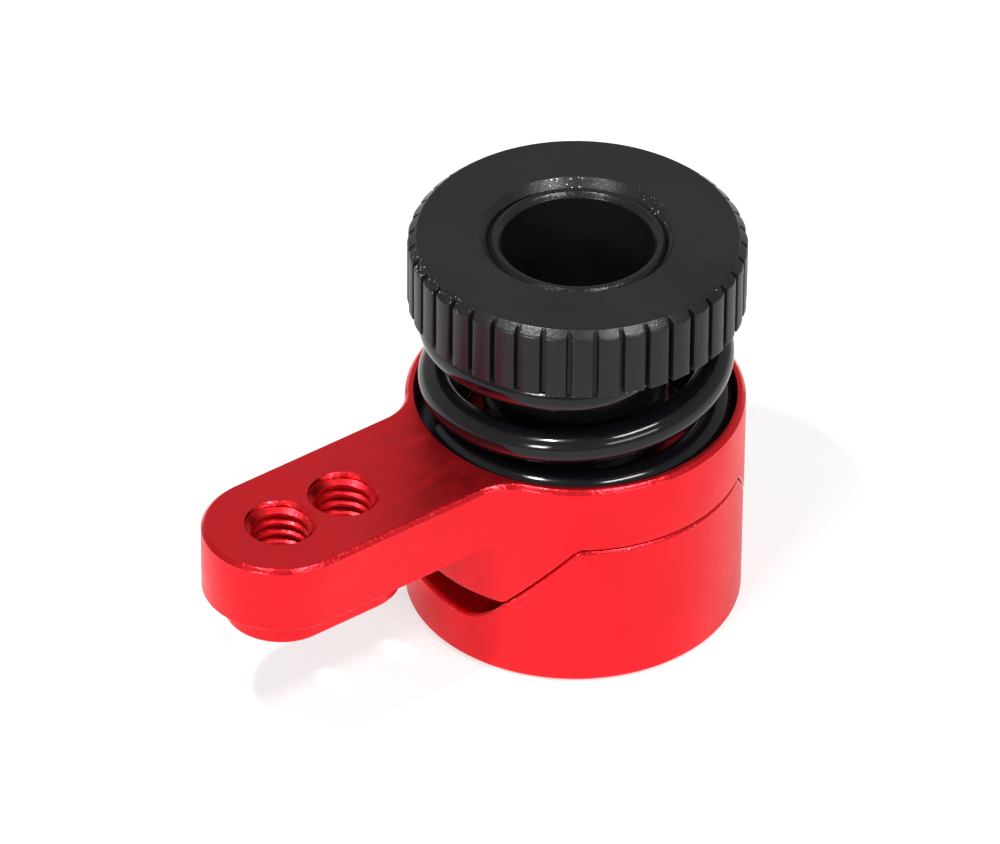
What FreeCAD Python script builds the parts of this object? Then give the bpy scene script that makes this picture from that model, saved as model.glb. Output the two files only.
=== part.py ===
import FreeCAD, Part
import math
import os

# Direct-mount servo saver for a radio-controlled car.
# Millimetres, +Z up. The origin is on the hub axis at the hub's bottom face, and the arm points along +X.

os.makedirs("parts", exist_ok=True)

# ---- base hub ----
HUB_RADIUS = 10.0
HUB_LAND_Z = 9.67
HUB_EDGE_CHAMFER = 0.3
BOSS_RADIUS = 6.65
BOSS_TOP_Z = 11.6
BOSS_EDGE_CHAMFER = 0.2
BUSH_GROOVE_RADIUS = 7.28
BUSH_GROOVE_Z = 5.0

# ---- servo socket, 25 teeth on a 6 mm output shaft ----
SPLINE_TEETH = 25
SPLINE_OUTER_RADIUS = 2.98
SPLINE_INNER_RADIUS = 2.70
SPLINE_TOP_Z = 4.2
PILOT_RADIUS = 3.10
PILOT_DEPTH = 1.0
HORN_SCREW_RADIUS = 1.65

# ---- V cam, two teeth 180 degrees apart ----
CAM_SLOPE = 0.18
CAM_VALLEY_Z = 3.34
CAM_HALF_TOP = 53.4
CAM_RUNNING_GAP = 0.08
CAM_VALLEY_BLEND = 1.3
CAM_EDGE_BLEND = 0.3
CAM_OVERRUN = 3.0
CAM_SLICES = 48
CAM_CUT_INNER_RADIUS = 6.0
CAM_CUT_OUTER_RADIUS = 11.5
TOOTH_BOTTOM_Z = 5.17
CAM_TOOTH_ANGLES = (0.0, 180.0)

# ---- cam arm ----
ARM_BOTTOM_Z = 9.77
ARM_TOP_Z = 14.09
ARM_RING_RADIUS = 10.03
ARM_BORE_RADIUS = 7.2
POCKET_RADIUS = 9.5
POCKET_FLOOR_Z = 11.8
ARM_HALF_WIDTH = 4.63
ARM_ROOT_FILLET = 3.0
RIM_EDGE_CHAMFER = 0.2
POCKET_EDGE_CHAMFER = 0.12

# ---- M4 x 0.7 tapped holes in the arm ----
HOLE_X = (16.96, 21.49)
TAP_RADIUS = 1.65
COUNTERSINK_RADIUS = 2.12
HOLE_BOTTOM_CHAMFER = 0.3
LINK_BOSS_RADIUS = 3.35
LINK_BOSS_BOTTOM_Z = 7.83

# ---- sleeve bush pressed into the arm ----
BUSH_INNER_RADIUS = 6.70
BUSH_BOTTOM_Z = 5.2
BUSH_TOP_Z = 11.7

# ---- hollow post, M11 x 0.75 outside ----
POST_BOTTOM_Z = 5.6
POST_TOP_Z = 25.0
POST_RADIUS = 5.5
POST_THREAD_RADIUS = 5.44
POST_ROOT_RADIUS = 5.04
POST_BORE_RADIUS = 4.44
POST_BORE_CHAMFER = 0.3
THREAD_PITCH = 0.75
THREAD_BOTTOM_Z = 13.2
THREAD_RUNOUT = 0.3
THREAD_TOP_MARGIN = 0.5
NECK_START = 0.4
NECK_TAPER = 0.5
POST_END_RADIUS = 5.04

# ---- spring ----
WIRE_RADIUS = 1.03
COIL_RADIUS = 8.24
SPRING_BOTTOM_Z = 12.2
SPRING_TOP_Z = 20.8
COIL_LOW_Z = 13.12
COIL_HIGH_Z = 19.9
COIL_PITCH = 3.9
COIL_MIDDLE_Z = 16.12
COIL_MIDDLE_ANGLE = 51.8
COIL_START_ANGLE = -374.0
COIL_END_ANGLE = 428.0
COIL_BLEND = 0.5
COIL_POINTS = 67

# ---- washers ----
SEAT_WASHER_INNER = 6.85
SEAT_WASHER_OUTER = 9.3
NUT_WASHER_INNER = 5.75
NUT_WASHER_OUTER = 9.05
NUT_WASHER_THICKNESS = 0.4

# ---- adjuster nut ----
NUT_BOTTOM_Z = 20.8
NUT_TOP_Z = 25.3
NUT_RADIUS = 9.92
NUT_BORE_RADIUS = 5.5
NUT_COUNTERSINK_RADIUS = 5.75
NUT_COUNTERSINK_Z = 0.25
NUT_RECESS_RADIUS = 9.15
KNURL_COUNT = 40
KNURL_SHOULDER_RADIUS = 9.86
KNURL_GROOVE_RADIUS = 9.47
KNURL_LAND_HALF_ANGLE = 3.45
KNURL_GROOVE_HALF_ANGLE = 0.7
NUT_TOP_CHAMFER_R = 0.56
NUT_TOP_CHAMFER_Z = 0.5
NUT_BOTTOM_CHAMFER = 0.08

# ---- how far cutting tools reach past the faces they cut ----
CLEAR = 1.0

ORIGIN = FreeCAD.Vector(0, 0, 0)
UP = FreeCAD.Vector(0, 0, 1)


def at(radius, degrees, z):
    """The point at a radius and an angle from +X."""
    a = math.radians(degrees)
    return FreeCAD.Vector(radius * math.cos(a), radius * math.sin(a), z)


def tube(outer, inner, bottom, top):
    """A plain ring on the axis."""
    body = Part.makeCylinder(outer, top - bottom, FreeCAD.Vector(0, 0, bottom))
    if inner > 0:
        body = body.cut(Part.makeCylinder(inner, top - bottom, FreeCAD.Vector(0, 0, bottom)))
    return body


def turned(profile):
    """A solid of revolution about Z from (radius, z) corners."""
    points = [FreeCAD.Vector(r, 0, z) for r, z in profile]
    wire = Part.makePolygon(points + [points[0]])
    return Part.Face(wire).revolve(ORIGIN, UP, 360)


def prism(points, bottom, top):
    """A polygon in plan, drawn up from bottom to top."""
    corners = [FreeCAD.Vector(x, y, bottom) for x, y in points]
    wire = Part.makePolygon(corners + [corners[0]])
    return Part.Face(wire).extrude(FreeCAD.Vector(0, 0, top - bottom))


def smooth_max(a, b, width):
    gap = abs(a - b)
    if gap >= width:
        return max(a, b)
    return max(a, b) + (width - gap) ** 2 / (4.0 * width)


def smooth_min(a, b, width):
    return -smooth_max(-a, -b, width)


def ramp(offset):
    """Height of the cam's helical ramp at an angle from the middle of a tooth."""
    return HUB_LAND_Z - CAM_SLOPE * (CAM_HALF_TOP - abs(offset))


def valley_height(offset):
    """The hub's cam face: flat valley floor, helical ramps, land."""
    low = smooth_max(CAM_VALLEY_Z, ramp(offset), CAM_VALLEY_BLEND)
    return smooth_min(HUB_LAND_Z, low, CAM_EDGE_BLEND)


def tooth_height(offset):
    """The arm's cam face: flat tooth bottom, helical ramps, flat underside."""
    low = smooth_max(TOOTH_BOTTOM_Z, ramp(offset) + CAM_RUNNING_GAP, CAM_EDGE_BLEND)
    return smooth_min(ARM_BOTTOM_Z, low, CAM_EDGE_BLEND)


def cam_block(height, middle, top):
    """A block over one cam face: each radial slice runs from the face's height to top."""
    slices = []
    half_angle = CAM_HALF_TOP + CAM_OVERRUN
    for i in range(CAM_SLICES + 1):
        offset = -half_angle + 2.0 * half_angle * i / CAM_SLICES
        z = height(offset)
        corners = [
            at(CAM_CUT_INNER_RADIUS, middle + offset, z),
            at(CAM_CUT_OUTER_RADIUS, middle + offset, z),
            at(CAM_CUT_OUTER_RADIUS, middle + offset, top),
            at(CAM_CUT_INNER_RADIUS, middle + offset, top),
        ]
        slices.append(Part.makePolygon(corners + [corners[0]]))
    return Part.makeLoft(slices, True, False)


def base_hub():
    """Hub with two V valleys round its top, a toothed servo socket and a seat for the post."""
    body = turned([
        (0, 0),
        (HUB_RADIUS - HUB_EDGE_CHAMFER, 0),
        (HUB_RADIUS, HUB_EDGE_CHAMFER),
        (HUB_RADIUS, HUB_LAND_Z),
        (BUSH_GROOVE_RADIUS, HUB_LAND_Z),
        (BUSH_GROOVE_RADIUS, BUSH_GROOVE_Z),
        (BOSS_RADIUS, BUSH_GROOVE_Z),
        (BOSS_RADIUS, BOSS_TOP_Z - BOSS_EDGE_CHAMFER),
        (BOSS_RADIUS - BOSS_EDGE_CHAMFER, BOSS_TOP_Z),
        (0, BOSS_TOP_Z),
    ])
    ring = tube(HUB_RADIUS + CLEAR, BOSS_RADIUS, 0, HUB_LAND_Z + CLEAR)
    for middle in CAM_TOOTH_ANGLES:
        block = cam_block(valley_height, middle, HUB_LAND_Z + CLEAR)
        body = body.cut(block.common(ring))
    body = body.cut(tube(POST_RADIUS, 0, POST_BOTTOM_Z, BOSS_TOP_Z + CLEAR))
    body = body.cut(tube(HORN_SCREW_RADIUS, 0, 0, BOSS_TOP_Z))
    body = body.cut(tube(PILOT_RADIUS, 0, 0, PILOT_DEPTH))
    star = []
    for i in range(2 * SPLINE_TEETH):
        radius = SPLINE_OUTER_RADIUS if i % 2 == 0 else SPLINE_INNER_RADIUS
        p = at(radius, i * 180.0 / SPLINE_TEETH, 0)
        star.append((p.x, p.y))
    return body.cut(prism(star, 0, SPLINE_TOP_Z))


def center_post():
    """Hollow post: plain seat, thread relief, ring-grooved thread, chamfered end."""
    profile = [
        (POST_BORE_RADIUS, POST_BOTTOM_Z),
        (POST_RADIUS, POST_BOTTOM_Z),
        (POST_RADIUS, BOSS_TOP_Z + NECK_START),
        (POST_ROOT_RADIUS, BOSS_TOP_Z + NECK_START + NECK_TAPER),
        (POST_ROOT_RADIUS, THREAD_BOTTOM_Z - THREAD_RUNOUT),
        (POST_THREAD_RADIUS, THREAD_BOTTOM_Z),
    ]
    crest = THREAD_PITCH / 4.0
    groove_floor = THREAD_PITCH / 8.0
    flank = (THREAD_PITCH - crest - groove_floor) / 2.0
    z = THREAD_BOTTOM_Z + crest
    while z + THREAD_PITCH < POST_TOP_Z - THREAD_TOP_MARGIN:
        profile.append((POST_THREAD_RADIUS, z))
        profile.append((POST_ROOT_RADIUS, z + flank))
        profile.append((POST_ROOT_RADIUS, z + flank + groove_floor))
        profile.append((POST_THREAD_RADIUS, z + 2.0 * flank + groove_floor))
        z = z + THREAD_PITCH
    profile += [
        (POST_THREAD_RADIUS, POST_TOP_Z - (POST_THREAD_RADIUS - POST_END_RADIUS)),
        (POST_END_RADIUS, POST_TOP_Z),
        (POST_BORE_RADIUS + POST_BORE_CHAMFER, POST_TOP_Z),
        (POST_BORE_RADIUS, POST_TOP_Z - POST_BORE_CHAMFER),
    ]
    return turned(profile)


def arm_outline(bottom, top):
    """The arm seen from above: ring, straight sides, round tip and two root fillets."""
    tip_x = HOLE_X[1]
    reach = ARM_RING_RADIUS + ARM_ROOT_FILLET
    side = ARM_HALF_WIDTH + ARM_ROOT_FILLET
    center_x = math.sqrt(reach * reach - side * side)
    touch_angle = math.degrees(math.atan2(side, center_x))
    touch = at(ARM_RING_RADIUS, touch_angle, bottom)
    middle_angle = math.radians((touch_angle + 180.0 + 270.0) / 2.0)
    middle = FreeCAD.Vector(
        center_x + ARM_ROOT_FILLET * math.cos(middle_angle),
        side + ARM_ROOT_FILLET * math.sin(middle_angle),
        bottom,
    )
    root = FreeCAD.Vector(center_x, ARM_HALF_WIDTH, bottom)
    shoulder = FreeCAD.Vector(tip_x, ARM_HALF_WIDTH, bottom)
    tip = FreeCAD.Vector(tip_x + ARM_HALF_WIDTH, 0, bottom)
    ring_back = FreeCAD.Vector(-ARM_RING_RADIUS, 0, bottom)

    def mirrored(p):
        return FreeCAD.Vector(p.x, -p.y, p.z)

    edges = [
        Part.Arc(touch, middle, root).toShape(),
        Part.LineSegment(root, shoulder).toShape(),
        Part.Arc(shoulder, tip, mirrored(shoulder)).toShape(),
        Part.LineSegment(mirrored(shoulder), mirrored(root)).toShape(),
        Part.Arc(mirrored(root), mirrored(middle), mirrored(touch)).toShape(),
        Part.Arc(mirrored(touch), ring_back, touch).toShape(),
    ]
    wire = Part.Wire(edges)
    return Part.Face(wire).extrude(FreeCAD.Vector(0, 0, top - bottom))


def link_boss():
    """The raised pad under both tapped holes."""
    left, right = HOLE_X
    height = ARM_BOTTOM_Z + CLEAR - LINK_BOSS_BOTTOM_Z
    low = FreeCAD.Vector(0, 0, LINK_BOSS_BOTTOM_Z)
    body = Part.makeBox(right - left, 2 * LINK_BOSS_RADIUS, height,
                        low + FreeCAD.Vector(left, -LINK_BOSS_RADIUS, 0))
    for x in HOLE_X:
        body = body.fuse(Part.makeCylinder(LINK_BOSS_RADIUS, height, low + FreeCAD.Vector(x, 0, 0)))
    return body.removeSplitter()


def cam_arm():
    """Arm and ring with two V teeth below, a spring pocket above and two holes for the link."""
    body = arm_outline(ARM_BOTTOM_Z, ARM_TOP_Z)
    top_edges = [e for e in body.Edges if abs(e.BoundBox.ZMin - ARM_TOP_Z) < 1e-6]
    body = body.makeChamfer(RIM_EDGE_CHAMFER, top_edges)
    ring = tube(ARM_RING_RADIUS, ARM_BORE_RADIUS, 0, POCKET_FLOOR_Z)
    for middle in CAM_TOOTH_ANGLES:
        tooth = cam_block(tooth_height, middle, POCKET_FLOOR_Z)
        body = body.fuse(tooth.common(ring))
    body = body.fuse(link_boss())
    body = body.cut(tube(ARM_BORE_RADIUS, 0, 0, ARM_TOP_Z))
    body = body.cut(turned([
        (0, POCKET_FLOOR_Z),
        (POCKET_RADIUS, POCKET_FLOOR_Z),
        (POCKET_RADIUS, ARM_TOP_Z - POCKET_EDGE_CHAMFER),
        (POCKET_RADIUS + POCKET_EDGE_CHAMFER, ARM_TOP_Z),
        (POCKET_RADIUS + POCKET_EDGE_CHAMFER, ARM_TOP_Z + CLEAR),
        (0, ARM_TOP_Z + CLEAR),
    ]))
    sink = COUNTERSINK_RADIUS - TAP_RADIUS
    for x in HOLE_X:
        hole = turned([
            (0, LINK_BOSS_BOTTOM_Z - CLEAR),
            (TAP_RADIUS + HOLE_BOTTOM_CHAMFER, LINK_BOSS_BOTTOM_Z - CLEAR),
            (TAP_RADIUS + HOLE_BOTTOM_CHAMFER, LINK_BOSS_BOTTOM_Z),
            (TAP_RADIUS, LINK_BOSS_BOTTOM_Z + HOLE_BOTTOM_CHAMFER),
            (TAP_RADIUS, ARM_TOP_Z - sink),
            (COUNTERSINK_RADIUS, ARM_TOP_Z),
            (COUNTERSINK_RADIUS, ARM_TOP_Z + CLEAR),
            (0, ARM_TOP_Z + CLEAR),
        ])
        hole.translate(FreeCAD.Vector(x, 0, 0))
        body = body.cut(hole)
    return body


def arm_bush():
    """Plain sleeve that the hub's boss turns in."""
    return tube(ARM_BORE_RADIUS, BUSH_INNER_RADIUS, BUSH_BOTTOM_Z, BUSH_TOP_Z)


def coil_center_z(degrees):
    """Height of the wire's centre line: a steady pitch that closes at both ends."""
    z = COIL_MIDDLE_Z + COIL_PITCH * (degrees - COIL_MIDDLE_ANGLE) / 360.0
    z = smooth_max(COIL_LOW_Z, z, COIL_BLEND)
    return smooth_min(COIL_HIGH_Z, z, COIL_BLEND)


def spring():
    """Round wire with ground ends; the coil rises anticlockwise seen from above."""
    points = []
    for i in range(COIL_POINTS + 1):
        degrees = COIL_START_ANGLE + (COIL_END_ANGLE - COIL_START_ANGLE) * i / COIL_POINTS
        points.append(at(COIL_RADIUS, degrees, coil_center_z(degrees)))
    curve = Part.BSplineCurve()
    curve.interpolate(points)
    path = Part.Wire([curve.toShape()])
    direction = curve.tangent(curve.FirstParameter)[0]
    section = Part.Wire([Part.makeCircle(WIRE_RADIUS, points[0], direction)])
    wire = path.makePipeShell([section], True, True)
    return wire.common(tube(COIL_RADIUS + WIRE_RADIUS + CLEAR, 0, SPRING_BOTTOM_Z, SPRING_TOP_Z))


def adjuster_nut():
    """Knurled nut with chamfered edges, a recess for its washer and a plain bore."""
    edges = []
    step = 360.0 / KNURL_COUNT
    for i in range(KNURL_COUNT):
        c = i * step
        left = at(KNURL_SHOULDER_RADIUS, c - KNURL_LAND_HALF_ANGLE, NUT_BOTTOM_Z)
        crown = at(NUT_RADIUS, c, NUT_BOTTOM_Z)
        right = at(KNURL_SHOULDER_RADIUS, c + KNURL_LAND_HALF_ANGLE, NUT_BOTTOM_Z)
        floor_a = at(KNURL_GROOVE_RADIUS, c + step / 2.0 - KNURL_GROOVE_HALF_ANGLE, NUT_BOTTOM_Z)
        floor_b = at(KNURL_GROOVE_RADIUS, c + step / 2.0 + KNURL_GROOVE_HALF_ANGLE, NUT_BOTTOM_Z)
        following = at(KNURL_SHOULDER_RADIUS, c + step - KNURL_LAND_HALF_ANGLE, NUT_BOTTOM_Z)
        edges.append(Part.Arc(left, crown, right).toShape())
        edges.append(Part.LineSegment(right, floor_a).toShape())
        edges.append(Part.LineSegment(floor_a, floor_b).toShape())
        edges.append(Part.LineSegment(floor_b, following).toShape())
    body = Part.Face(Part.Wire(edges)).extrude(FreeCAD.Vector(0, 0, NUT_TOP_Z - NUT_BOTTOM_Z))
    envelope = turned([
        (0, NUT_BOTTOM_Z),
        (NUT_RADIUS - NUT_BOTTOM_CHAMFER, NUT_BOTTOM_Z),
        (NUT_RADIUS, NUT_BOTTOM_Z + NUT_BOTTOM_CHAMFER),
        (NUT_RADIUS, NUT_TOP_Z - NUT_TOP_CHAMFER_Z),
        (NUT_RADIUS - NUT_TOP_CHAMFER_R, NUT_TOP_Z),
        (0, NUT_TOP_Z),
    ])
    body = body.common(envelope)
    recess_top = NUT_BOTTOM_Z + NUT_WASHER_THICKNESS
    return body.cut(turned([
        (0, NUT_BOTTOM_Z),
        (NUT_RECESS_RADIUS, NUT_BOTTOM_Z),
        (NUT_RECESS_RADIUS, recess_top),
        (NUT_BORE_RADIUS, recess_top),
        (NUT_BORE_RADIUS, NUT_TOP_Z - NUT_COUNTERSINK_Z),
        (NUT_COUNTERSINK_RADIUS, NUT_TOP_Z),
        (0, NUT_TOP_Z),
    ]))


def save(node, shape):
    """Writes a node's STEP file, and stops if the node isn't one valid solid."""
    solids = shape.Solids
    if len(solids) != 1 or not shape.isValid():
        raise ValueError("%s has %d solids, valid %s" % (node, len(solids), shape.isValid()))
    solids[0].exportStep("parts/%s.step" % node)
    print(node, round(shape.Volume, 2))


save("base_hub", base_hub())
save("center_post", center_post())
save("cam_arm", cam_arm())
save("arm_bush", arm_bush())
save("seat_washer", tube(SEAT_WASHER_OUTER, SEAT_WASHER_INNER, POCKET_FLOOR_Z, SPRING_BOTTOM_Z))
save("spring", spring())
save("nut_washer", tube(NUT_WASHER_OUTER, NUT_WASHER_INNER, NUT_BOTTOM_Z,
                        NUT_BOTTOM_Z + NUT_WASHER_THICKNESS))
save("adjuster_nut", adjuster_nut())
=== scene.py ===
"""Looks for the servo saver. Sizes below are millimetres; MM turns them into the scene's metres."""

import math

import bmesh
import bpy
import numpy as np
from mathutils import Matrix, Vector


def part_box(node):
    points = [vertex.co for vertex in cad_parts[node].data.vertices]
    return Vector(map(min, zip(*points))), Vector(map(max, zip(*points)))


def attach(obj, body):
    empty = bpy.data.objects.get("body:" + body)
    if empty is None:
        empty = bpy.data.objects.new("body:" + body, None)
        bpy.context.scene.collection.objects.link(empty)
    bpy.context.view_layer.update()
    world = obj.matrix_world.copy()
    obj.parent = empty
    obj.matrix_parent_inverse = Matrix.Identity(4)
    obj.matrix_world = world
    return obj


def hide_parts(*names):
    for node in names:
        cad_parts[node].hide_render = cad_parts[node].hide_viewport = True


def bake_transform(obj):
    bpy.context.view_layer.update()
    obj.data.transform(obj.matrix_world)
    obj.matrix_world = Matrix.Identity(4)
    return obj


MM = 0.001
WELD = 2e-7
FULL_TURN = 2.0 * math.pi

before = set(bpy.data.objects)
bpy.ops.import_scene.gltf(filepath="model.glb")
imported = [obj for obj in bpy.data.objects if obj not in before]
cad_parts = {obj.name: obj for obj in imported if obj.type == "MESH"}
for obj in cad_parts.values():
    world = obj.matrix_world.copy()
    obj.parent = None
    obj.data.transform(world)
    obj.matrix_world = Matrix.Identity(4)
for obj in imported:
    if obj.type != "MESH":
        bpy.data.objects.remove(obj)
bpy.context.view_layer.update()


def box(node):
    """Lowest and highest corner of a CAD node, in millimetres."""
    low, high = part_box(node)
    return low / MM, high / MM


_, HUB_HIGH = box("base_hub")
ARM_LOW, ARM_HIGH = box("cam_arm")
POST_LOW, POST_HIGH = box("center_post")
BUSH_LOW, BUSH_HIGH = box("arm_bush")
SEAT_LOW, SEAT_HIGH = box("seat_washer")
SPRING_LOW, SPRING_HIGH = box("spring")
RIM_LOW, RIM_HIGH = box("nut_washer")
NUT_LOW, NUT_HIGH = box("adjuster_nut")

# ---- hub and its V cam ----
HUB_RADIUS = HUB_HIGH.x
LAND_Z = 9.67
VALLEY_Z = 3.34
CAM_SLOPE = 0.18
CAM_HALF_TOP = 53.4
CAM_GAP = 0.08
CAM_ROUND = 0.3
VALLEY_ROUND = 1.3
BOSS_RADIUS = 6.65
GROOVE_RADIUS = 7.28
GROOVE_Z = 5.0
SPLINE_TEETH = 25
SPLINE_RADII = (2.70, 2.98)
SPLINE_TOP_Z = 4.2
PILOT_RADIUS = 3.10
PILOT_DEPTH = 1.0
SCREW_RADIUS = 1.65
FOOT_CHAMFER = 0.3
HUB_EDGE = 0.34

# ---- arm ----
RING_RADIUS = -ARM_LOW.x
ARM_TOP_Z = ARM_HIGH.z
ARM_BOTTOM_Z = 9.77
TOOTH_Z = ARM_LOW.z
BORE_RADIUS = BUSH_HIGH.x
POCKET_RADIUS = 9.5
POCKET_Z = SEAT_LOW.z
ARM_HALF_WIDTH = 4.63
TIP_X = ARM_HIGH.x - ARM_HALF_WIDTH
ROOT_FILLET = 3.0
ARM_EDGE = 0.26
ARM_LIP = 0.42
ARM_UNDERCUT = 0.35
RING_SLAB_RISE = 0.5
HOLE_SPACING = 4.53
HOLE_X = (TIP_X - HOLE_SPACING, TIP_X)
PAD_RADIUS = 3.35
PAD_Z = 7.83
PAD_EDGE = 0.4
PAD_ROOT_Z = ARM_BOTTOM_Z + 0.3
BUSH_WALL = 0.5
SEAT_INNER = 6.85

# ---- M4 x 0.7 holes ----
LINK_PITCH = 0.7
LINK_MAJOR = 2.02
LINK_MINOR = 1.64
LINK_SINK = 2.12

# ---- post and nut, M11 x 0.75 ----
POST_PITCH = 0.75
POST_RADIUS = POST_HIGH.x
POST_MAJOR = 5.44
POST_ROOT = 5.02
POST_END = 5.02
POST_BORE = 4.44
POST_BORE_CHAMFER = 0.3
POST_THREAD_LOW = 12.9
POST_SEAT_TOP = HUB_HIGH.z + 0.4
POST_RELIEF_LOW = HUB_HIGH.z + 0.9
NUT_MAJOR = 5.50
NUT_MINOR = 5.10
NUT_SINK = 5.75
NUT_RECESS = 9.15
RIM_INNER = 5.75
NUT_RADIUS = NUT_HIGH.x
NUT_LOW_EDGE = 0.08
NUT_LOW_SLOPE = 0.2
NUT_TOP_SLOPE = 0.72
NUT_TOP_FLAT = NUT_RADIUS - 1.1
NUT_TOP_EDGE = (0.56, 0.5)
KNURLS = 40
KNURL_SHOULDER = 9.86
KNURL_FLOOR = 9.47
KNURL_LAND = 3.45
KNURL_GAP = 3.8

# ---- spring ----
WIRE_RADIUS = 1.03
COIL_RADIUS = SPRING_HIGH.x - WIRE_RADIUS
COIL_PITCH = 3.9
COIL_LOW_Z = SPRING_LOW.z + 0.92
COIL_HIGH_Z = SPRING_HIGH.z - 0.9
COIL_CLOSING = 0.5
COIL_MIDDLE_Z = 16.12
COIL_MIDDLE_ANGLE = 51.8
COIL_START, COIL_END = -374.0, 445.0
SEAT_TURN = -60.0
STILL_TURN = 330.0
RIM_TURN = 396.0
TAPER_ANGLE = 410.0
TAPER_RISE = 1.6

# ---- mesh fineness ----
EDGE_STEPS = 4
HOLE_COLUMNS = 96
WIRE_COLUMNS = 40
CUTTER_TOP_Z = 30.0
FLAT_CREASE = 32.0

# ---- camera ----
CAMERA_PLACE = Vector((293.0, 372.4, 368.1))
CAMERA_AIM = Vector((3.5, -2.7, 11.6))
CAMERA_ROLL = 0.49
CAMERA_LENS = 362.7

# ---- studio ----
BACKDROP = 0.62
OVERHEAD = 0.34
FLOOR_GLOW = 0.58
FLOOR_HALF = 1500.0
LIGHT_DISTANCE = 520.0
LIGHT_AIM = Vector((0, 0, 12))

# ---- materials ----
NOISE_ROUGHNESS = 0.55


# ---------------------------------------------------------------- shapes

def polar(radius, angle, height):
    """Points at a radius, an angle in radians and a height; arrays broadcast together."""
    radius, angle, height = np.broadcast_arrays(radius, angle, height)
    return np.stack([radius * np.cos(angle), radius * np.sin(angle), height], axis=-1)


def step_towards(point, target, length):
    """A point moved towards target by length, at most 45% of the way."""
    gap = target - point
    distance = np.maximum(np.linalg.norm(gap, axis=-1, keepdims=True), 1e-9)
    return point + gap * np.minimum(length / distance, 0.45)


def soften(loop, cuts):
    """Rounds the corners of closed loops of points, cutting each corner back by its own length."""
    softened = []
    count = loop.shape[-2]
    for k, cut in enumerate(cuts):
        corner = loop[..., k, :]
        if not np.any(cut):
            softened.append(corner)
            continue
        start = step_towards(corner, loop[..., k - 1, :], cut)
        end = step_towards(corner, loop[..., (k + 1) % count, :], cut)
        for t in np.arange(EDGE_STEPS + 1) / EDGE_STEPS:
            softened.append((1 - t) ** 2 * start + 2 * t * (1 - t) * corner + t * t * end)
    return np.stack(softened, axis=-2)


def weighted(obj, crease):
    """Smooth shading that keeps flat faces flat and edges over the crease angle sharp."""
    obj.data.shade_smooth()
    obj.data.set_sharp_from_angle(angle=math.radians(crease))
    modifier = obj.modifiers.new("weighted", "WEIGHTED_NORMAL")
    modifier.keep_sharp = True
    bake_modifiers(obj)


def bake_modifiers(obj):
    """Puts the result of an object's modifiers into its mesh."""
    graph = bpy.context.evaluated_depsgraph_get()
    baked = bpy.data.meshes.new_from_object(obj.evaluated_get(graph))
    obj.modifiers.clear()
    obj.data = baked


def mesh_piece(name, points, faces, material, crease):
    """A mesh object from points in millimetres, welded, facing outwards."""
    mesh = bpy.data.meshes.new(name)
    mesh.from_pydata((points * MM).tolist(), [], faces)
    work = bmesh.new()
    work.from_mesh(mesh)
    bmesh.ops.remove_doubles(work, verts=work.verts, dist=WELD)
    bmesh.ops.dissolve_degenerate(work, edges=work.edges, dist=WELD)
    bmesh.ops.recalc_face_normals(work, faces=work.faces)
    work.to_mesh(mesh)
    work.free()
    mesh.materials.append(material)
    obj = bpy.data.objects.new(name, mesh)
    bpy.context.scene.collection.objects.link(obj)
    if crease:
        weighted(obj, crease)
    return obj


def skin(name, grid, material, around=True, crease=FLAT_CREASE):
    """A mesh over a grid of closed sections; around says if the last section joins the first."""
    columns, rows = grid.shape[:2]
    index = np.arange(columns * rows).reshape(columns, rows)
    beside = np.roll(index, -1, axis=0)
    faces = np.stack([index, beside, np.roll(beside, -1, axis=1), np.roll(index, -1, axis=1)], axis=-1)
    if not around:
        faces = faces[:-1]
    return mesh_piece(name, grid.reshape(-1, 3), faces.reshape(-1, 4).tolist(), material, crease)


def section_loop(angle, corners):
    """One closed loop per angle from (radius, height, cut) corners."""
    loop = np.stack([polar(r, angle, z) for r, z, _ in corners], axis=-2)
    return soften(loop, [cut for _, _, cut in corners])


def turned(name, corners, material, angle=None):
    """A piece turned round the axis; a corner's radius or height may vary with the angle."""
    if angle is None:
        angle = np.linspace(0, FULL_TURN, 320, endpoint=False)
    return skin(name, section_loop(angle, corners), material)


def thread_rows(pitch, groove_radius, ridge_radius, fine=2):
    """(share of pitch, radius) along one turn of a 60-degree thread, from a flat at phase 0."""
    flat = 1.0 / 16.0
    flank = abs(groove_radius - ridge_radius) * math.tan(math.radians(30)) / pitch
    knots = [
        (-flat, groove_radius),
        (flat, groove_radius),
        (flat + flank, ridge_radius),
        (1.0 - flat - flank, ridge_radius),
        (1.0 - flat, groove_radius),
    ]
    rows = []
    for (p0, r0), (p1, r1) in zip(knots[:-1], knots[1:]):
        for s in range(fine):
            t = s / fine
            rows.append((p0 + (p1 - p0) * t, r0 + (r1 - r0) * t))
    return rows


def thread_grid(rows, pitch, bottom, top, trim, columns=240):
    """Points of a right-hand thread between two heights. Every thread of one pitch shares one start."""
    angle = np.linspace(0, FULL_TURN, columns + 1)
    turns = range(math.floor(bottom / pitch) - 2, math.ceil(top / pitch) + 1)
    phase = np.array([turn + share for turn in turns for share, _ in rows])
    radius = np.array([r for _ in turns for _, r in rows])
    height = np.clip(pitch * (phase[None, :] + angle[:, None] / FULL_TURN), bottom, top)
    return angle, polar(trim(radius[None, :], height), angle[:, None], height)


# ---------------------------------------------------------------- cam

def smooth_max(a, b, width):
    """The larger of two heights, rounded where they meet."""
    gap = np.abs(a - b)
    return np.maximum(a, b) + np.maximum(width - gap, 0) ** 2 / (4.0 * width)


def smooth_min(a, b, width):
    """The smaller of two heights, rounded where they meet."""
    return -smooth_max(-a, -b, width)


def ramp(angle):
    """Height of the helical ramp, from the angle to the middle of the nearest cam tooth."""
    offset = (np.degrees(angle) + 90.0) % 180.0 - 90.0
    return LAND_Z - CAM_SLOPE * (CAM_HALF_TOP - np.abs(offset))


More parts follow.
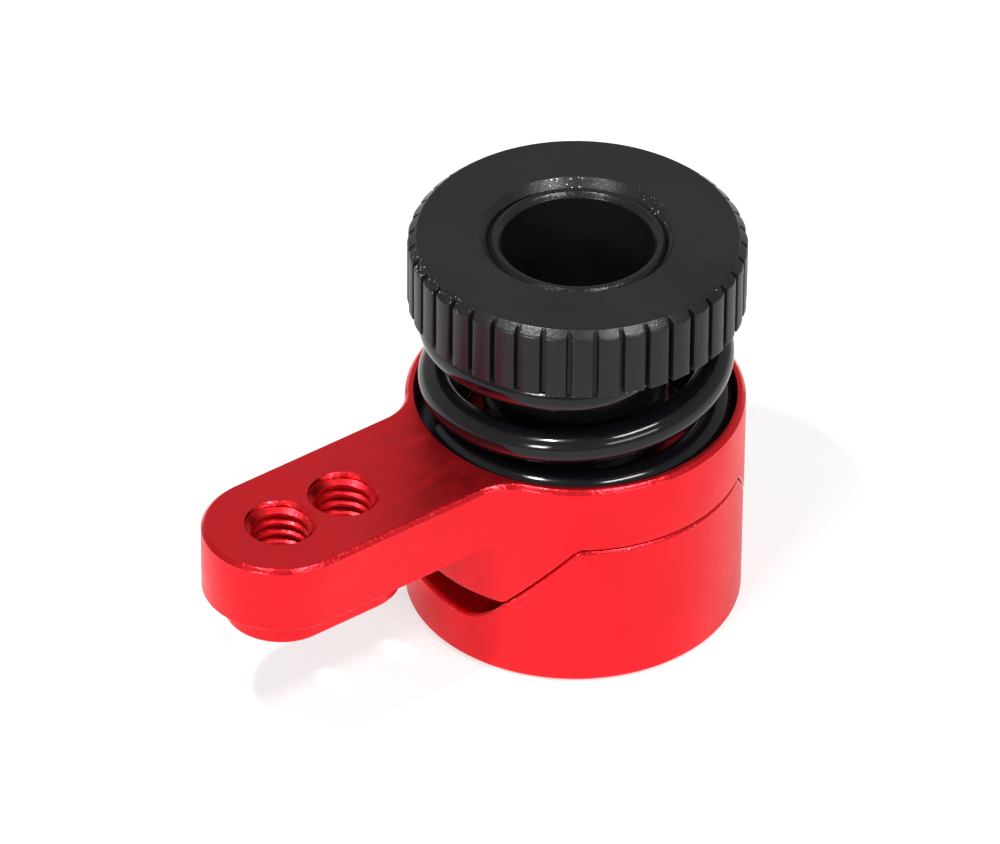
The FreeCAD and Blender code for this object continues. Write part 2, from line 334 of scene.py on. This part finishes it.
def valley_height(angle):
    """Height of the hub's half of the cam."""
    return smooth_min(LAND_Z, smooth_max(VALLEY_Z, ramp(angle), VALLEY_ROUND), CAM_ROUND)


def tooth_height(angle):
    """Height of the arm's half of the cam."""
    tooth = smooth_max(TOOTH_Z, ramp(angle) + CAM_GAP, CAM_ROUND)
    return smooth_min(ARM_BOTTOM_Z, tooth, CAM_ROUND)


# ---------------------------------------------------------------- pieces

def base_hub(material):
    """The red hub: tooth socket below, cam on its wall, groove and boss inside it."""
    angle = np.linspace(0, FULL_TURN, 32 * SPLINE_TEETH, endpoint=False)
    cam = valley_height(angle)
    groove = np.minimum(GROOVE_Z, cam)
    wave = np.abs((angle * SPLINE_TEETH / FULL_TURN) % 1.0 * 2.0 - 1.0)
    spline = SPLINE_RADII[0] + (SPLINE_RADII[1] - SPLINE_RADII[0]) * wave
    return turned("base_hub_body", [
        (PILOT_RADIUS, 0, 0.1),
        (HUB_RADIUS - FOOT_CHAMFER, 0, 0.08),
        (HUB_RADIUS, FOOT_CHAMFER, 0.08),
        (HUB_RADIUS, cam, HUB_EDGE),
        (GROOVE_RADIUS, cam, 0.1),
        (GROOVE_RADIUS, groove, 0),
        (BOSS_RADIUS, groove, 0),
        (BOSS_RADIUS, HUB_HIGH.z, 0.2),
        (POST_RADIUS, HUB_HIGH.z, 0.05),
        (POST_RADIUS, POST_LOW.z, 0),
        (SCREW_RADIUS, POST_LOW.z, 0.1),
        (SCREW_RADIUS, SPLINE_TOP_Z, 0),
        (spline, SPLINE_TOP_Z, 0),
        (spline, PILOT_DEPTH, 0),
        (PILOT_RADIUS, PILOT_DEPTH, 0),
    ], material, angle)


def mirrored_half(points, normals):
    """A closed outline from its half on the +Y side, given from the +X end to the -X end."""
    flip = np.array([1.0, -1.0])
    inner = slice(-2, 0, -1)
    return (np.concatenate([points, points[inner] * flip]),
            np.concatenate([normals, normals[inner] * flip]))


def arc(center, radius, start, end, count):
    """Points on an arc given in degrees, and the directions from its centre to them."""
    a = np.radians(np.linspace(start, end, count))
    spokes = np.stack([np.cos(a), np.sin(a)], axis=-1)
    return np.array(center) + radius * spokes, spokes


def straight(start, end, count):
    """Points strictly between two points."""
    t = np.linspace(0, 1, count + 2)[1:-1, None]
    return np.array(start) * (1 - t) + np.array(end) * t


def arm_outline():
    """The arm's edge seen from above, with its outward directions: tip, sides, root fillets, ring."""
    reach = RING_RADIUS + ROOT_FILLET
    side = ARM_HALF_WIDTH + ROOT_FILLET
    root_x = math.sqrt(reach * reach - side * side)
    touch = math.degrees(math.atan2(side, root_x))
    tip, tip_out = arc((TIP_X, 0), ARM_HALF_WIDTH, 0, 90, 64)
    edge = straight((TIP_X, ARM_HALF_WIDTH), (root_x, ARM_HALF_WIDTH), 48)
    edge_out = np.tile([0.0, 1.0], (len(edge), 1))
    fillet, fillet_in = arc((root_x, side), ROOT_FILLET, 270, 180 + touch, 28)
    ring, ring_out = arc((0, 0), RING_RADIUS, touch + 0.4, 180, 360)
    return mirrored_half(np.concatenate([tip, edge, fillet, ring]),
                         np.concatenate([tip_out, edge_out, -fillet_in, ring_out]))


def pad_outline():
    """The raised pad's edge under the two holes."""
    tip, tip_out = arc((HOLE_X[1], 0), PAD_RADIUS, 0, 90, 40)
    edge = straight((HOLE_X[1], PAD_RADIUS), (HOLE_X[0], PAD_RADIUS), 6)
    edge_out = np.tile([0.0, 1.0], (len(edge), 1))
    back, back_out = arc((HOLE_X[0], 0), PAD_RADIUS, 90, 180, 40)
    return mirrored_half(np.concatenate([tip, edge, back]),
                         np.concatenate([tip_out, edge_out, back_out]))


def raised(points, height):
    """Plan points lifted to a height."""
    return np.column_stack([points, np.broadcast_to(height, len(points))])


def bore_holes(obj):
    """Cuts the two link holes at the threads' outside radius."""
    for x in HOLE_X:
        rim, _ = arc((x, 0), LINK_SINK, 0, 360, HOLE_COLUMNS + 1)
        middle = np.tile([x, 0.0], (HOLE_COLUMNS, 1))
        walls = np.stack([raised(rim[:-1], z) for z in (0.0, CUTTER_TOP_Z)], axis=1)
        ends = np.stack([raised(middle, z) for z in (CUTTER_TOP_Z, 0.0)], axis=1)
        cutter = skin("cutter", np.concatenate([walls, ends], axis=1), None, crease=0)
        cut = obj.modifiers.new("hole", "BOOLEAN")
        cut.operation = "DIFFERENCE"
        cut.solver = "EXACT"
        cut.object = cutter
        bake_modifiers(obj)
        bpy.data.objects.remove(cutter)
    weighted(obj, FLAT_CREASE)


def cam_arm(material):
    """The red ring and arm: cam teeth below, the spring's pocket above."""
    points, out = arm_outline()
    angle = np.arctan2(points[:, 1], points[:, 0])
    beyond = np.maximum(np.hypot(points[:, 0], points[:, 1]) - RING_RADIUS, 0)[:, None]
    on_arm = np.minimum(beyond / 0.1, 1.0)
    lip = points - out * ARM_LIP
    under = points - out * np.minimum(ARM_UNDERCUT, beyond * 0.5)
    slab = ARM_BOTTOM_Z + RING_SLAB_RISE * (1.0 - on_arm[:, 0])
    tooth = tooth_height(angle)
    loop = np.stack([
        polar(BORE_RADIUS, angle, POCKET_Z),
        polar(POCKET_RADIUS, angle, POCKET_Z),
        polar(POCKET_RADIUS, angle, ARM_TOP_Z),
        raised(lip, ARM_TOP_Z),
        raised(points - out * ARM_EDGE, ARM_TOP_Z),
        raised(points, ARM_TOP_Z - ARM_EDGE),
        raised(points, slab),
        raised(under, slab),
        polar(RING_RADIUS, angle, slab),
        polar(RING_RADIUS, angle, tooth),
        polar(BORE_RADIUS, angle, tooth),
    ], axis=-2)
    cuts = [0, 0.25, 0.1, 0, 0.08, 0.08, 0.06 * on_arm, 0, 0, 0.16, 0.05]
    return skin("cam_arm_body", soften(loop, cuts), material, crease=0)


def link_pad(material):
    """The raised pad round the two holes, under the arm."""
    points, out = pad_outline()
    loop = np.stack([
        raised(points - out * PAD_RADIUS, PAD_Z),
        raised(points - out * PAD_EDGE, PAD_Z),
        raised(points, PAD_Z),
        raised(points, PAD_ROOT_Z),
        raised(points - out * PAD_RADIUS, PAD_ROOT_Z),
    ], axis=-2)
    return skin("link_pad", soften(loop, [0, 0, 0.3, 0, 0]), material, crease=0)


def link_thread(name, x, material):
    """The threaded wall of one hole, with a countersink at each end."""
    def trim(radius, z):
        upper = LINK_SINK - (ARM_TOP_Z - z)
        lower = LINK_SINK - (z - PAD_Z)
        return np.maximum(radius, np.maximum(upper, lower))

    rows = thread_rows(LINK_PITCH, LINK_MAJOR, LINK_MINOR, fine=4)
    angle, wall = thread_grid(rows, LINK_PITCH, PAD_Z, ARM_TOP_Z, trim, columns=144)
    outside = polar(LINK_SINK + 0.04, angle[:, None], np.array([[ARM_TOP_Z - 0.08, PAD_Z + 0.08]]))
    grid = np.concatenate([wall, outside], axis=1)
    grid[..., 0] += x
    return skin(name, grid, material, around=False, crease=38.0)


def center_post(material):
    """Hollow post: plain seat, thread relief, thread, chamfered end, bore."""
    def trim(radius, z):
        upper = POST_END + POST_HIGH.z - z
        lower = POST_ROOT + z - POST_THREAD_LOW
        return np.minimum(radius, np.minimum(upper, lower))

    rows = thread_rows(POST_PITCH, POST_MAJOR, POST_ROOT)
    angle, thread = thread_grid(rows, POST_PITCH, POST_THREAD_LOW, POST_HIGH.z, trim)
    plain = [
        (POST_ROOT, POST_THREAD_LOW, 0),
        (POST_END, POST_HIGH.z, 0.06),
        (POST_BORE + POST_BORE_CHAMFER, POST_HIGH.z, 0.06),
        (POST_BORE, POST_HIGH.z - POST_BORE_CHAMFER, 0.12),
        (POST_BORE, POST_LOW.z, 0),
        (POST_RADIUS, POST_LOW.z, 0),
        (POST_RADIUS, POST_SEAT_TOP, 0.08),
        (POST_ROOT, POST_RELIEF_LOW, 0),
    ]
    ends = section_loop(angle, plain)
    grid = np.concatenate([thread, ends[:, 1:]], axis=1)
    return skin("center_post_body", grid, material, around=False)


def knurl():
    """Angles round the nut and the knurled edge's radius at each."""
    land = np.linspace(-KNURL_LAND + 0.15, KNURL_LAND - 0.15, 9)
    gap = np.linspace(KNURL_LAND, 9.0 - KNURL_LAND, 11)
    pitch = 360.0 / KNURLS
    offsets = np.concatenate([land, gap])
    angle = (np.arange(KNURLS)[:, None] * pitch + offsets[None, :]).ravel()
    away = np.abs((angle + pitch / 2.0) % pitch - pitch / 2.0)
    crown = NUT_RADIUS - (NUT_RADIUS - KNURL_SHOULDER) * (away / KNURL_LAND) ** 2
    drop = (KNURL_SHOULDER - KNURL_FLOOR) * (away - KNURL_LAND) / (KNURL_GAP - KNURL_LAND)
    wall = KNURL_SHOULDER - drop
    radius = smooth_max(smooth_min(crown, wall, 0.04), KNURL_FLOOR, 0.04)
    return np.radians(angle), radius


def adjuster_nut(material):
    """The knurled nut without its thread."""
    angle, edge = knurl()
    low, high = NUT_LOW.z, NUT_HIGH.z
    corners = [(NUT_RECESS, low, 0.06)]
    for z in low + np.linspace(0, NUT_LOW_SLOPE, 5):
        corners.append((smooth_min(edge, NUT_RADIUS - NUT_LOW_EDGE + z - low, 0.04), z, 0))
    for z in high - np.linspace(NUT_TOP_SLOPE, 0.0, 15):
        slope = NUT_RADIUS - NUT_TOP_EDGE[0] * (1.0 - (high - z) / NUT_TOP_EDGE[1])
        corners.append((smooth_min(edge, slope, 0.1), z, 0))
    corners[-1] = (corners[-1][0], high, 0.12)
    corners += [
        (NUT_TOP_FLAT, high, 0),
        (NUT_SINK, high, 0),
        (NUT_SINK, RIM_HIGH.z, 0),
        (NUT_RECESS, RIM_HIGH.z, 0),
    ]
    return turned("adjuster_nut_body", corners, material, angle)


def nut_thread(material):
    """The nut's threaded bore, with a countersink at each end."""
    low, high = RIM_HIGH.z, NUT_HIGH.z

    def trim(radius, z):
        return np.maximum(radius, np.maximum(NUT_SINK - (high - z), NUT_SINK - (z - low)))

    rows = thread_rows(POST_PITCH, NUT_MAJOR, NUT_MINOR)
    angle, wall = thread_grid(rows, POST_PITCH, low, high, trim)
    outside = polar(NUT_SINK + 0.05, angle[:, None], np.array([[high - 0.08, low + 0.08]]))
    return skin("adjuster_nut_thread", np.concatenate([wall, outside], axis=1), material, around=False)


def coil_height(degrees):
    """Height of the wire's centre line: a steady pitch, closed at both ends, rising at the very top."""
    z = COIL_MIDDLE_Z + COIL_PITCH * (degrees - COIL_MIDDLE_ANGLE) / 360.0
    closed = smooth_min(COIL_HIGH_Z, smooth_max(COIL_LOW_Z, z, COIL_CLOSING), COIL_CLOSING)
    past = np.maximum((degrees - TAPER_ANGLE) / (COIL_END - TAPER_ANGLE), 0.0)
    return closed + TAPER_RISE * past ** 2


def coil_piece(name, start, end, material):
    """A stretch of the spring's wire, ground flat where it passes the spring's end planes."""
    degrees = np.linspace(start, end, max(3, round((end - start) / 2.0) + 1))
    turn = np.radians(degrees)
    center = polar(COIL_RADIUS, turn, coil_height(degrees))
    rise = np.degrees(coil_height(degrees + 0.5) - coil_height(degrees - 0.5))
    along = np.stack([-COIL_RADIUS * np.sin(turn), COIL_RADIUS * np.cos(turn), rise], axis=-1)
    along /= np.linalg.norm(along, axis=-1, keepdims=True)
    outward = polar(1.0, turn, 0.0)
    upward = np.cross(outward, along)
    wire = np.linspace(0, FULL_TURN, WIRE_COLUMNS, endpoint=False)
    ring = (outward[:, None] * np.cos(wire)[None, :, None]
            + upward[:, None] * np.sin(wire)[None, :, None])
    grid = center[:, None] + WIRE_RADIUS * ring
    if start == COIL_START:
        grid = np.concatenate([np.repeat(center[:1, None], WIRE_COLUMNS, axis=1), grid])
    if end == COIL_END:
        grid = np.concatenate([grid, np.repeat(center[-1:, None], WIRE_COLUMNS, axis=1)])
    grid[..., 2] = np.clip(grid[..., 2], SPRING_LOW.z, SPRING_HIGH.z)
    return skin(name, grid, material, around=False, crease=50.0)


def hang_between(obj, first, last):
    """Bakes a stretch's placement into its mesh; the points at its two end angles are worked out but not
    used.
    """
    a, b = (polar(COIL_RADIUS, math.radians(d), 0.0) * MM for d in (first, last))
    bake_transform(obj)


def spring(material):
    """The wire in short stretches; the bottom end rides the spring seat and the top end the top seat,
    and the stretches between ride nothing.
    """
    pieces = [coil_piece("spring_bottom_end", COIL_START, SEAT_TURN, material)]
    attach(pieces[0], "spring_seat")
    stretches = [
        ("spring_lower", "spring_seat", SEAT_TURN, STILL_TURN, 10, (1.0, 0.0)),
        ("spring_upper", "top_seat", STILL_TURN, RIM_TURN, 3, (0.0, 1.0)),
    ]
    for label, body, first, last, count, (w0, w1) in stretches:
        cuts = np.linspace(first, last, count + 1)
        for i in range(count):
            piece = coil_piece(f"{label}_{i + 1}", cuts[i], cuts[i + 1], material)
            hang_between(piece, cuts[i], cuts[i + 1])
            pieces.append(piece)
    pieces.append(coil_piece("spring_top_end", RIM_TURN, COIL_END, material))
    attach(pieces[-1], "top_seat")
    return pieces


def ring_piece(name, inner, outer, low, high, material):
    """A washer or bush with its edges broken."""
    return turned(name, [
        (inner, low, 0.06),
        (outer, low, 0.06),
        (outer, high, 0.06),
        (inner, high, 0.06),
    ], material)


# ---------------------------------------------------------------- materials

def finish_nodes(name):
    """A new node material and its tree, shader and object-space coordinates."""
    material = bpy.data.materials.new(name)
    material.use_nodes = True
    nodes = material.node_tree.nodes
    place = nodes.new("ShaderNodeTexCoord").outputs["Object"]
    return material, material.node_tree, nodes["Principled BSDF"], place


def noise(tree, place, scale, detail=3.0):
    """Smooth noise from 0 to 1; scale is in cells a metre."""
    node = tree.nodes.new("ShaderNodeTexNoise")
    node.inputs["Scale"].default_value = scale
    node.inputs["Detail"].default_value = detail
    node.inputs["Roughness"].default_value = NOISE_ROUGHNESS
    tree.links.new(place, node.inputs["Vector"])
    return node.outputs["Fac"]


def spread(tree, value, low, high, out_low, out_high):
    """A value mapped from one range to another."""
    node = tree.nodes.new("ShaderNodeMapRange")
    for key, number in zip(("From Min", "From Max", "To Min", "To Max"), (low, high, out_low, out_high)):
        node.inputs[key].default_value = number
    tree.links.new(value, node.inputs["Value"])
    return node.outputs["Result"]


def mixed(tree, share, first, second):
    """Two colours mixed by a share; a colour is a tuple or another node's output."""
    node = tree.nodes.new("ShaderNodeMix")
    node.data_type = "RGBA"
    tree.links.new(share, node.inputs["Factor"])
    for socket, color in ((node.inputs[6], first), (node.inputs[7], second)):
        if isinstance(color, tuple):
            socket.default_value = (*color, 1.0)
        else:
            tree.links.new(color, socket)
    return node.outputs[2]


def grain(tree, shader, height, depth):
    """Fine surface relief of a depth in millimetres."""
    node = tree.nodes.new("ShaderNodeBump")
    node.inputs["Strength"].default_value = 1.0
    node.inputs["Distance"].default_value = depth * MM
    tree.links.new(height, node.inputs["Height"])
    tree.links.new(node.outputs["Normal"], shader.inputs["Normal"])


def math_of(tree, operation, first, second):
    """A Math node on two inputs, each a number or another node's output."""
    node = tree.nodes.new("ShaderNodeMath")
    node.operation = operation
    for socket, value in zip(node.inputs, (first, second)):
        if isinstance(value, (int, float)):
            socket.default_value = value
        else:
            tree.links.new(value, socket)
    return node.outputs["Value"]


def broken_edges(tree):
    """1 on slopes such as chamfers, rounded edges and thread flanks, 0 on level and upright faces."""
    place = tree.nodes.new("ShaderNodeTexCoord")
    split = tree.nodes.new("ShaderNodeSeparateXYZ")
    tree.links.new(place.outputs["Normal"], split.inputs["Vector"])
    level = math_of(tree, "ABSOLUTE", split.outputs["Z"], 0.0)
    middle = math_of(tree, "ABSOLUTE", math_of(tree, "SUBTRACT", level, 0.5), 0.0)
    return spread(tree, middle, 0.45, 0.3, 0.0, 1.0)


def anodised(name, color, deep, bare_and_glint, rough, edge_rough, metallic, gloss_level, wear_and_glint, sparkle):
    """Bead-blasted aluminium under a dyed film, smoother along its edges and flecked there with bare
    metal; the flecks are partly wear and partly a painted highlight for the glints along the edges.
    """
    material, tree, shader, place = finish_nodes(name)
    edge = broken_edges(tree)
    cloud = spread(tree, noise(tree, place, 140.0), 0.35, 0.65, 0.0, 1.0)
    dyed = mixed(tree, cloud, color, deep)
    # Edge flecks: partly bare metal from wear, partly painted highlight, their light colour standing in
    # for glints on the edges.
    flecks_and_glints = spread(tree, noise(tree, place, 6200.0, detail=2.0), 0.64, 0.69, 0.0, wear_and_glint)
    patches = spread(tree, noise(tree, place, 420.0, detail=1.0), 0.54, 0.64, 0.0, 1.0)
    worn_and_glint = math_of(tree, "MULTIPLY", edge, math_of(tree, "MULTIPLY", flecks_and_glints, patches))
    tree.links.new(mixed(tree, worn_and_glint, dyed, bare_and_glint), shader.inputs["Base Color"])
    tree.links.new(spread(tree, worn_and_glint, 0.0, 1.0, metallic, 1.0), shader.inputs["Metallic"])
    uneven = spread(tree, noise(tree, place, 900.0), 0.3, 0.7, rough - 0.03, rough + 0.03)
    smoother = math_of(tree, "MULTIPLY", edge, rough - edge_rough)
    tree.links.new(math_of(tree, "SUBTRACT", uneven, smoother), shader.inputs["Roughness"])
    shader.inputs["Specular IOR Level"].default_value = gloss_level
    blast = noise(tree, place, 6500.0, detail=2.0)
    nicks = math_of(tree, "MULTIPLY", noise(tree, place, 4300.0, detail=1.0), sparkle)
    relief = math_of(tree, "ADD", blast, math_of(tree, "MULTIPLY", nicks, edge))
    grain(tree, shader, relief, 0.0035)
    return material


def red_anodised():
    """Satin red aluminium of the hub and the arm."""
    # The light pink fleck colour on the red edges is partly painted highlight, standing in for the
    # pinkish glints along them.
    return anodised("red_anodised", (0.73, 0.020, 0.028), (0.67, 0.017, 0.024), (0.95, 0.60, 0.62),
                    rough=0.42, edge_rough=0.22, metallic=1.0, gloss_level=0.5, wear_and_glint=0.6, sparkle=7.0)


def black_anodised():
    """Satin black aluminium of the nut."""
    return anodised("black_anodised", (0.006, 0.0055, 0.007), (0.004, 0.0035, 0.005), (0.75, 0.75, 0.78),
                    rough=0.40, edge_rough=0.30, metallic=0.0, gloss_level=0.22, wear_and_glint=0.8, sparkle=2.5)


def black_gloss():
    """Thick glossy black coating on spring wire."""
    material, tree, shader, place = finish_nodes("black_gloss")
    shader.inputs["Base Color"].default_value = (0.003, 0.0025, 0.0035, 1.0)
    shader.inputs["Specular IOR Level"].default_value = 0.26
    uneven = spread(tree, noise(tree, place, 700.0), 0.3, 0.7, 0.08, 0.16)
    tree.links.new(uneven, shader.inputs["Roughness"])
    grain(tree, shader, noise(tree, place, 1500.0, detail=2.0), 0.004)
    return material


def black_oxide(name, rough):
    """Blackened steel with an oily shine that sparkles along its edges."""
    material, tree, shader, place = finish_nodes(name)
    edge = broken_edges(tree)
    dark = mixed(tree, noise(tree, place, 500.0), (0.005, 0.005, 0.006), (0.009, 0.008, 0.010))
    tree.links.new(dark, shader.inputs["Base Color"])
    shader.inputs["Metallic"].default_value = 0.35
    shader.inputs["Specular IOR Level"].default_value = 0.28
    tree.links.new(spread(tree, noise(tree, place, 1200.0), 0.3, 0.7, rough - 0.05, rough + 0.07),
                   shader.inputs["Roughness"])
    rougher = spread(tree, edge, 0.0, 1.0, 1.0, 8.0)
    relief = math_of(tree, "MULTIPLY", noise(tree, place, 4300.0, detail=1.0), rougher)
    grain(tree, shader, relief, 0.002)
    return material


def bronze():
    """Sintered bronze, slightly porous."""
    material, tree, shader, place = finish_nodes("sintered_bronze")
    pores = noise(tree, place, 3500.0, detail=4.0)
    solid = spread(tree, pores, 0.35, 0.5, 0.0, 1.0)
    color = mixed(tree, solid, (0.16, 0.09, 0.035), (0.50, 0.31, 0.13))
    tree.links.new(color, shader.inputs["Base Color"])
    shader.inputs["Metallic"].default_value = 1.0
    shader.inputs["Roughness"].default_value = 0.4
    grain(tree, shader, pores, 0.004)
    return material


def studio_floor():
    """A plain pale floor, faintly uneven, with a glow of its own that keeps the shadows on it light."""
    material, tree, shader, place = finish_nodes("studio_floor")
    tree.links.new(mixed(tree, noise(tree, place, 6.0), (0.32, 0.32, 0.32), (0.34, 0.34, 0.34)),
                   shader.inputs["Base Color"])
    shader.inputs["Roughness"].default_value = 0.8
    shader.inputs["Specular IOR Level"].default_value = 0.1
    shader.inputs["Emission Color"].default_value = (1.0, 1.0, 1.0, 1.0)
    shader.inputs["Emission Strength"].default_value = FLOOR_GLOW
    return material


# ---------------------------------------------------------------- studio

def area_light(name, place, size, power):
    """A soft rectangular light aimed at the object; millimetres and watts."""
    data = bpy.data.lights.new(name, "AREA")
    data.shape = "RECTANGLE"
    data.size, data.size_y = size[0] * MM, size[1] * MM
    data.energy = power
    obj = bpy.data.objects.new(name, data)
    obj.location = place * MM
    obj.rotation_euler = (LIGHT_AIM - place).to_track_quat("-Z", "Y").to_euler()
    bpy.context.scene.collection.objects.link(obj)


def studio_place(azimuth, elevation):
    """A light's place, seen from the object at an azimuth from +X and an elevation, in degrees."""
    a, e = math.radians(azimuth), math.radians(elevation)
    return LIGHT_DISTANCE * Vector((math.cos(a) * math.cos(e), math.sin(a) * math.cos(e), math.sin(e)))


def sky():
    """A pale backdrop all round that darkens overhead."""
    world = bpy.data.worlds.new("studio")
    world.use_nodes = True
    tree = world.node_tree
    split = tree.nodes.new("ShaderNodeSeparateXYZ")
    tree.links.new(tree.nodes.new("ShaderNodeTexCoord").outputs["Generated"], split.inputs["Vector"])
    climb = spread(tree, split.outputs["Z"], 0.62, 0.86, BACKDROP, OVERHEAD)
    background = tree.nodes["Background"]
    background.inputs["Color"].default_value = (1.0, 1.0, 1.0, 1.0)
    tree.links.new(climb, background.inputs["Strength"])
    bpy.context.scene.world = world


def studio():
    """Backdrop, four lights and the floor."""
    sky()
    area_light("low_lamp", studio_place(23, 23), (90, 90), 1.6)
    area_light("low_strip", studio_place(88, 27), (300, 90), 0.9)
    area_light("high_lamp", studio_place(8, 66), (34, 34), 3.0)
    area_light("high_strip", studio_place(98, 58), (200, 60), 1.6)
    corners = FLOOR_HALF * np.array([[-1.0, -1.0, 0], [1.0, -1.0, 0], [1.0, 1.0, 0], [-1.0, 1.0, 0]])
    floor = mesh_piece("studio_sweep", corners, [(0, 1, 2, 3)], studio_floor(), 0)


def camera():
    """The camera at the photograph's viewing angle."""
    data = bpy.data.cameras.new("camera")
    data.lens = CAMERA_LENS
    data.clip_start = 0.01
    obj = bpy.data.objects.new("camera", data)
    turn = (CAMERA_AIM - CAMERA_PLACE).to_track_quat("-Z", "Y").to_matrix()
    turn = turn @ Matrix.Rotation(math.radians(CAMERA_ROLL), 3, "Z")
    obj.matrix_world = Matrix.Translation(CAMERA_PLACE * MM) @ turn.to_4x4()
    bpy.context.scene.collection.objects.link(obj)
    bpy.context.scene.camera = obj


# ---------------------------------------------------------------- build

red = red_anodised()
black = black_anodised()
gloss = black_gloss()
oxide = black_oxide("black_oxide", 0.24)

hub = base_hub(red)
arm = cam_arm(red)
pad = link_pad(red)
bore_holes(arm)
bore_holes(pad)
post = center_post(oxide)
bush_inner = BORE_RADIUS - BUSH_WALL
bush = ring_piece("arm_bush_body", bush_inner, BORE_RADIUS, BUSH_LOW.z, BUSH_HIGH.z, bronze())
seat = ring_piece("seat_washer_body", SEAT_INNER, SEAT_HIGH.x, SEAT_LOW.z, SEAT_HIGH.z, oxide)
rim = ring_piece("nut_washer_body", RIM_INNER, RIM_HIGH.x, RIM_LOW.z, RIM_HIGH.z, oxide)
nut = adjuster_nut(black)
bore = nut_thread(black)
threads = [link_thread(f"link_thread_{i + 1}", x, red) for i, x in enumerate(HOLE_X)]
coils = spring(gloss)

for piece, body, slot, nodes in [
    (hub, "hub", "red_hub", ["base_hub"]),
    (post, "hub", "black_post", ["center_post"]),
    (arm, "arm", "red_arm", ["cam_arm"]),
    (pad, "arm", "red_arm", ["cam_arm"]),
    (threads[0], "arm", "red_arm", ["cam_arm"]),
    (threads[1], "arm", "red_arm", ["cam_arm"]),
    (bush, "arm", "bronze_bush", ["arm_bush"]),
    (seat, "spring_seat", "black_washer", ["seat_washer"]),
    (rim, "top_seat", "black_washer", ["nut_washer"]),
    (nut, "nut", "black_nut", ["adjuster_nut"]),
    (bore, "nut", "black_nut", ["adjuster_nut"]),
]:
    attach(piece, body)
    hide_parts(*nodes)
for coil in coils:
    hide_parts("spring")

studio()
camera()
bpy.context.scene.view_settings.view_transform = "Standard"
